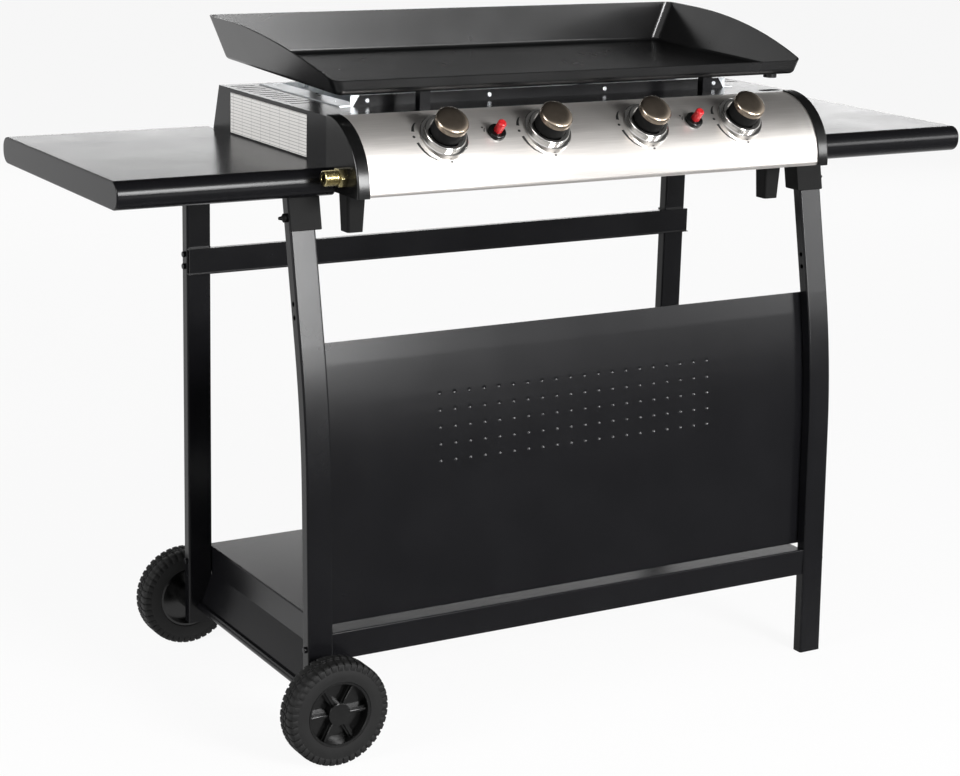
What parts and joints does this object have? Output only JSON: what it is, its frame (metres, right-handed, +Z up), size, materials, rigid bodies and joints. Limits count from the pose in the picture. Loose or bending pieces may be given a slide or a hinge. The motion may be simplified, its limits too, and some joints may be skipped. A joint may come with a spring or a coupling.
{
  "type": "gas griddle",
  "caption": "Gas griddle on a wheeled cart: flared black plate over tube burners, rounded stainless panel with knobs and push igniters, folded-sheet side shelves, bottom tray.",
  "frame": {"origin": "on the floor, under the middle of the whole object", "axes": "+X to the right along the shelves, -Y towards the cook and the knobs, +Z up"},
  "size_m": [1.396, 0.5548, 0.974],
  "materials": {
    "black_paint": "satin black powder coat",
    "enamel": "satin black enamel on steel",
    "stainless": "brushed along the panel",
    "galvanised": "galvanised sheet",
    "brass": "turned",
    "zinc": "zinc plated",
    "bright_chrome": "polished",
    "knob_finish": "dark bronze plated plastic",
    "black_plastic": "moulded",
    "red_plastic": "moulded",
    "tyre_rubber": "matte rubber",
    "ceramic": "ceramic insulator and coated lead",
    "plate_white": "blank printed plate"
  },
  "bodies": {
    "cart": {"front_leg_left": "black_paint", "front_leg_right": "black_paint", "rear_leg_left": "black_paint", "rear_leg_right": "black_paint", "bottom_shelf": "black_paint", "front_panel": "black_paint", "rear_crossbar": "black_paint", "shelf_left": "black_paint", "shelf_right": "black_paint", "shelf_bearers": "black_paint", "body_shell": "black_paint", "burner_rail": "black_paint", "plate_posts": "black_paint", "axle_guard": "black_paint", "grease_guide": "black_paint", "frame_bolts": "black_paint", "control_panel": "stainless", "burner_box": "galvanised", "burner_1": "galvanised", "burner_2": "galvanised", "burner_3": "galvanised", "burner_4": "galvanised", "gas_inlet": "brass", "valve_1": "brass", "valve_2": "brass", "valve_3": "brass", "valve_4": "brass", "axle": "zinc", "axle_nuts": "zinc", "panel_screws": "zinc", "gas_manifold": "zinc", "knob_bezels": "bright_chrome", "end_cap_left": "black_plastic", "end_cap_right": "black_plastic", "leg_caps": "black_plastic", "leg_plugs": "black_plastic", "leg_screws": "black_plastic", "body_feet": "black_plastic", "igniter_bodies": "black_plastic", "spark_electrodes": "ceramic", "data_plate": "plate_white"},
    "front_wheel": {"wheel_front": "black_plastic", "tyre_front": "tyre_rubber", "hub_cap_front": "black_plastic"},
    "rear_wheel": {"wheel_rear": "black_plastic", "tyre_rear": "tyre_rubber", "hub_cap_rear": "black_plastic"},
    "stem_1": {"valve_stem_1": "zinc"},
    "control_knob_1": {"knob_1": "knob_finish"},
    "stem_2": {"valve_stem_2": "zinc"},
    "control_knob_2": {"knob_2": "knob_finish"},
    "stem_3": {"valve_stem_3": "zinc"},
    "control_knob_3": {"knob_3": "knob_finish"},
    "stem_4": {"valve_stem_4": "zinc"},
    "control_knob_4": {"knob_4": "knob_finish"},
    "igniter_left": {"igniter_button_left": "red_plastic"},
    "igniter_right": {"igniter_button_right": "red_plastic"},
    "plate": {"griddle_plate": "enamel"},
    "drawer": {"grease_tray": "galvanised"}
  },
  "joints": [
    {"name": "front_wheel_turn", "type": "hinge", "parent": "cart", "child": "front_wheel", "pos_m": [-0.427, -0.258, 0.075], "axis": [0, 1, 0], "continuous": true},
    {"name": "rear_wheel_turn", "type": "hinge", "parent": "cart", "child": "rear_wheel", "pos_m": [-0.427, 0.258, 0.075], "axis": [0, 1, 0], "continuous": true},
    {"name": "valve_1_turn", "type": "hinge", "parent": "cart", "child": "stem_1", "pos_m": [-0.24525, -0.20741, 0.84618], "axis": [0, -0.6947, 0.7193], "range_deg": [0, 210]},
    {"name": "knob_1_push", "type": "slide", "parent": "stem_1", "child": "control_knob_1", "axis": [0, 0.6947, -0.7193], "range_m": [0, 0.003], "stiffness_N_per_m": 1000},
    {"name": "valve_2_turn", "type": "hinge", "parent": "cart", "child": "stem_2", "pos_m": [-0.08175, -0.20741, 0.84618], "axis": [0, -0.6947, 0.7193], "range_deg": [0, 210]},
    {"name": "knob_2_push", "type": "slide", "parent": "stem_2", "child": "control_knob_2", "axis": [0, 0.6947, -0.7193], "range_m": [0, 0.003], "stiffness_N_per_m": 1000},
    {"name": "valve_3_turn", "type": "hinge", "parent": "cart", "child": "stem_3", "pos_m": [0.08175, -0.20741, 0.84618], "axis": [0, -0.6947, 0.7193], "range_deg": [0, 210]},
    {"name": "knob_3_push", "type": "slide", "parent": "stem_3", "child": "control_knob_3", "axis": [0, 0.6947, -0.7193], "range_m": [0, 0.003], "stiffness_N_per_m": 1000},
    {"name": "valve_4_turn", "type": "hinge", "parent": "cart", "child": "stem_4", "pos_m": [0.24525, -0.20741, 0.84618], "axis": [0, -0.6947, 0.7193], "range_deg": [0, 210]},
    {"name": "knob_4_push", "type": "slide", "parent": "stem_4", "child": "control_knob_4", "axis": [0, 0.6947, -0.7193], "range_m": [0, 0.003], "stiffness_N_per_m": 1000},
    {"name": "igniter_left_push", "type": "slide", "parent": "cart", "child": "igniter_left", "axis": [0, 0.6947, -0.7193], "range_m": [0, 0.008], "stiffness_N_per_m": 600},
    {"name": "igniter_right_push", "type": "slide", "parent": "cart", "child": "igniter_right", "axis": [0, 0.6947, -0.7193], "range_m": [0, 0.008], "stiffness_N_per_m": 600},
    {"name": "plate_lift", "type": "slide", "parent": "cart", "child": "plate", "axis": [0, 0, 1], "range_m": [0, 0.12]},
    {"name": "grease_tray_pull", "type": "slide", "parent": "cart", "child": "drawer", "axis": [0, 1, 0], "range_m": [0, 0.25]}
  ]
}
